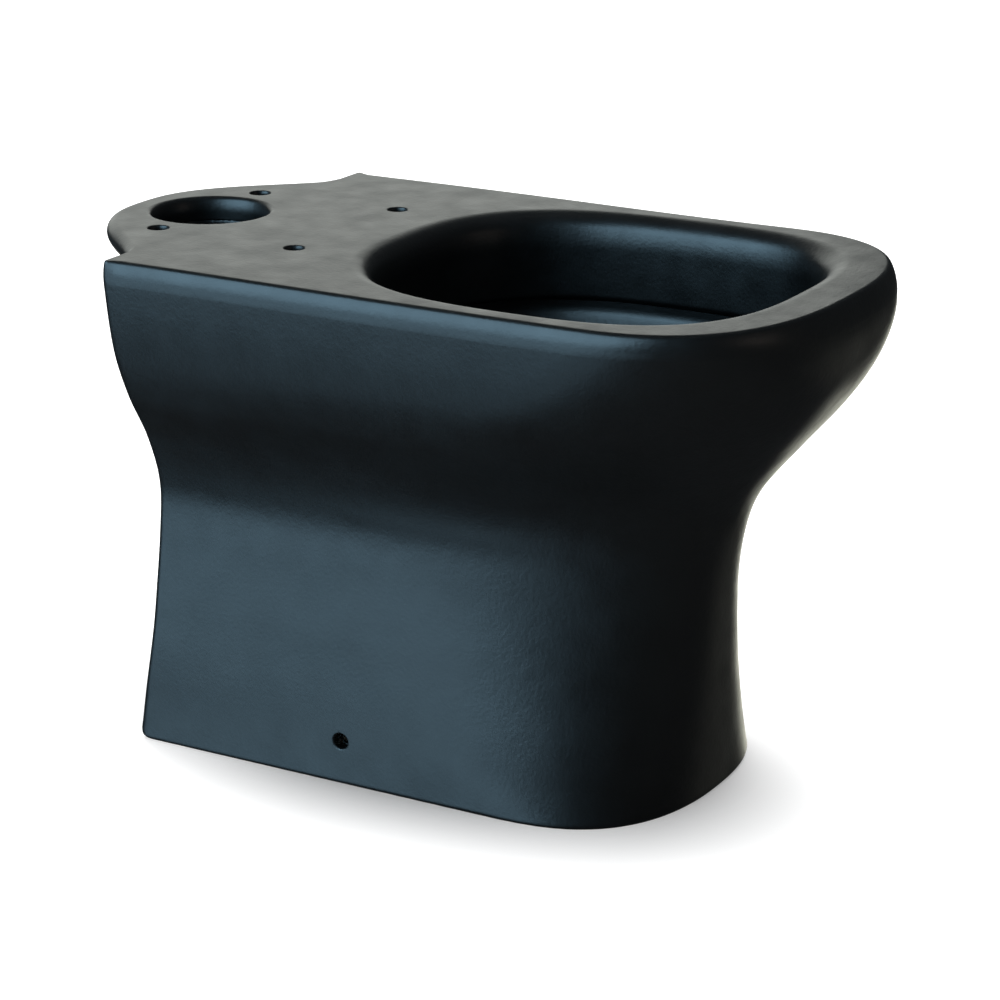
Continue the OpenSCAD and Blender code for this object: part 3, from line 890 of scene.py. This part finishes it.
def bracket_piece(side, steel):
    """Bent angle bracket, screwed to the floor inside the skirt."""
    node = "floor_bracket_right" if side > 0 else "floor_bracket_left"
    low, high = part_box(node)
    t = 3 * MM
    bend = 2 * MM
    foot_x = high.x - low.x
    height = high.z - low.z
    width = high.y - low.y
    corner = (foot_x - t - bend, t + bend)
    inner = arc(corner, bend, -90, 0, 8)
    outer = arc(corner, bend + t, -90, 0, 8)
    path = np.vstack([
        [[0, 0]], outer, [[foot_x, height], [foot_x - t, height]], inner[::-1], [[0, t]],
    ])
    bm = bmesh.new()
    rows = [[bm.verts.new((x, y, z)) for x, z in path] for y in (0, width)]
    ring_faces(bm, rows)
    for row in rows:
        bm.faces.new(row)
    bracket = new_object(node + "_steel", bm, smooth=False)
    middle = (low.y + high.y) / 2
    near_x, far_x = (low.x, high.x) if side > 0 else (-high.x, -low.x)
    bracket.data.transform(Matrix.Translation((near_x, low.y, low.z)))
    fix = MOUNTS["side_fixing_right"]
    screw = Vector((far_x, middle, fix["pos_m"][2]))
    floor_hole = MOUNTS["bracket_floor_screws"]["dims"]
    floor_screw = Vector((floor_hole["spacing_x_mm"] * MM / 2, middle, 0))
    inwards, outwards = Vector((9 * MM, 0, 0)), Vector((6 * MM, 0, 0))
    down, up = Vector((0, 0, 2 * MM)), Vector((0, 0, 8 * MM))
    cut(bracket, [
        rod("screw_way", fix["dims"]["r_mm"] * MM, screw - inwards, screw + outwards),
        rod("floor_way", floor_hole["hole_r_mm"] * MM, floor_screw - down, floor_screw + up),
    ])
    if side < 0:
        bracket.data.transform(Matrix.Scale(-1, 4, (1, 0, 0)))
        bracket.data.flip_normals()
    edges = bracket.modifiers.new("edges", "BEVEL")
    edges.width = 0.35 * MM
    edges.segments = 2
    edges.limit_method = "ANGLE"
    bpy.context.view_layer.update()
    apply_modifiers(bracket)
    return finish_piece(bracket, steel, [node])


def nuts_piece(steel):
    """Two chamfered hexagon nuts behind the brackets."""
    low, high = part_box("bracket_nuts")
    nut_h = 7 * MM
    flat = 8 * MM
    bore = 4.2 * MM
    face_r = 8.1 * MM
    clear_r = 9.3 * MM
    chamfer = 0.7 * MM
    steps = 96
    q = np.linspace(0, 2 * np.pi, steps, endpoint=False)
    hexagon = flat / np.cos((q + np.pi / 6) % (np.pi / 3) - np.pi / 6)
    outside = [
        (0, face_r), (chamfer, clear_r), (nut_h / 2, clear_r),
        (nut_h - chamfer, clear_r), (nut_h, face_r),
    ]
    inside = [(nut_h, bore + chamfer), (nut_h - chamfer, bore), (chamfer, bore), (0, bore + chamfer)]
    rings = [(np.minimum(hexagon, limit), h) for h, limit in outside]
    rings += [(np.full(steps, r), h) for h, r in inside]
    middle = (low.y + high.y) / 2
    z = (low.z + high.z) / 2
    bm = bmesh.new()
    for side in (-1, 1):
        start = side * (high.x - nut_h)
        rows = []
        for radius, h in rings:
            rows.append([
                bm.verts.new((start + side * h, middle + r * math.sin(k), z + r * math.cos(k)))
                for r, k in zip(radius, q)
            ])
        ring_faces(bm, rows + rows[:1])
    nuts = new_object("bracket_nuts_steel", bm, smooth=False)
    return finish_piece(nuts, steel, ["bracket_nuts"])


# ---- Stage ----


def stage_floor():
    bm = bmesh.new()
    bmesh.ops.create_circle(bm, cap_ends=True, radius=30, segments=96)
    floor = new_object("stage_floor", bm, smooth=False)
    # The floor's glow dims towards the foot: a painted contact shadow.
    floor.data.materials.append(painted_shadow_floor())
    floor.visible_glossy = False
    floor.visible_shadow = False


def area_light(name, place, aim, size, power, color, spread_deg=180):
    data = bpy.data.lights.new(name, "AREA")
    data.shape = "RECTANGLE"
    data.size, data.size_y = size
    data.energy = power
    data.color = color
    data.spread = math.radians(spread_deg)
    light = bpy.data.objects.new(name, data)
    light.location = place
    light.rotation_euler = (Vector(aim) - Vector(place)).to_track_quat("-Z", "Y").to_euler()
    light.visible_camera = False
    bpy.context.scene.collection.objects.link(light)
    return light


def studio():
    """A cool window at the left, a pale wall behind the right, and dark elsewhere.

    Most lights show only in glossy reflections, and the overhead one only on matt surfaces.
    """
    scene = bpy.context.scene
    scene.view_settings.view_transform = "Standard"
    world = bpy.data.worlds.new("studio")
    scene.world = world
    world.use_nodes = True
    background = world.node_tree.nodes["Background"]
    background.inputs["Color"].default_value = (0.85, 0.92, 1.0, 1)
    background.inputs["Strength"].default_value = 0.03
    cool = (0.46, 0.77, 1.0)
    olive = (1.0, 1.0, 0.84)
    for light in (
        area_light("window", (-2.85, 1.4, 1.9), (-0.1, 0, 0.3), (4.2, 2.6), 205, cool),
        area_light("left_low", (-2.6, 1.7, -0.16), (-0.1, 0.3, 0.1), (3.4, 0.9), 27, cool),
        area_light("left_floor", (-1.2, 0.7, -0.01), (-1.2, 0.7, 1), (0.7, 2.2), 7.5, cool),
        area_light("foot_glow", (-0.38, 0.12, -0.1), (-0.14, 0.0, 0.02), (0.8, 0.16), 0.13, cool, 60),
        area_light("edge_glow", (-0.6, 0.2, -0.05), (-0.17, 0.0, 0.5), (1.0, 0.2), 0.08, cool, 40),
        area_light("right_low", (2.1, 1.0, -0.65), (0, 0, 0.2), (2.4, 0.8), 18, olive),
        area_light("front_low", (2.2, -1.4, -0.55), (0, -0.2, 0.2), (1.6, 1.2), 0.8, olive),
        area_light("warm_panel", (0.1, -2.6, 1.1), (0, 0, 0.35), (0.9, 0.7), 1.2, (1.0, 0.86, 0.76)),
    ):
        light.visible_diffuse = False
    area_light("back_wall", (2.6, 2.4, 1.3), (0, 0, 0.3), (3.4, 2.2), 32, (0.96, 1.0, 0.94))
    overhead = area_light("overhead", (0.9, 0.5, 2.8), (0, 0, 0), (3.0, 3.0), 170, (1, 1, 1))
    overhead.visible_glossy = False


def photo_camera():
    """Camera at the photograph's viewing angle."""
    azimuth, elevation = math.radians(-60.5), math.radians(18.2)
    aim = Vector((-0.005, -0.022, 0.202))
    away = Vector((
        math.sin(azimuth) * math.cos(elevation),
        -math.cos(azimuth) * math.cos(elevation),
        math.sin(elevation),
    ))
    data = bpy.data.cameras.new("camera")
    data.lens = 111.3
    data.sensor_width = 36
    distance = 2.389
    camera = bpy.data.objects.new("camera", data)
    camera.location = aim + away * distance
    camera.rotation_euler = (-away).to_track_quat("-Z", "Y").to_euler()
    bpy.context.scene.collection.objects.link(camera)
    bpy.context.scene.camera = camera


GLAZE = black_glaze()
deck_piece(GLAZE)
skirt_piece(GLAZE)
rim_piece(GLAZE)
bowl_piece(GLAZE)
sump_piece(GLAZE)
trap_pieces(GLAZE)
spigot_piece(GLAZE)
cast_pieces(GLAZE, bare_china())
ZINC = plated_steel("zinc_steel", (0.62, 0.63, 0.64), 240.0)
for hand in (-1, 1):
    bracket_piece(hand, ZINC)
nuts_piece(plated_steel("nut_steel", (0.56, 0.57, 0.58), 400.0))
stage_floor()
studio()
photo_camera()
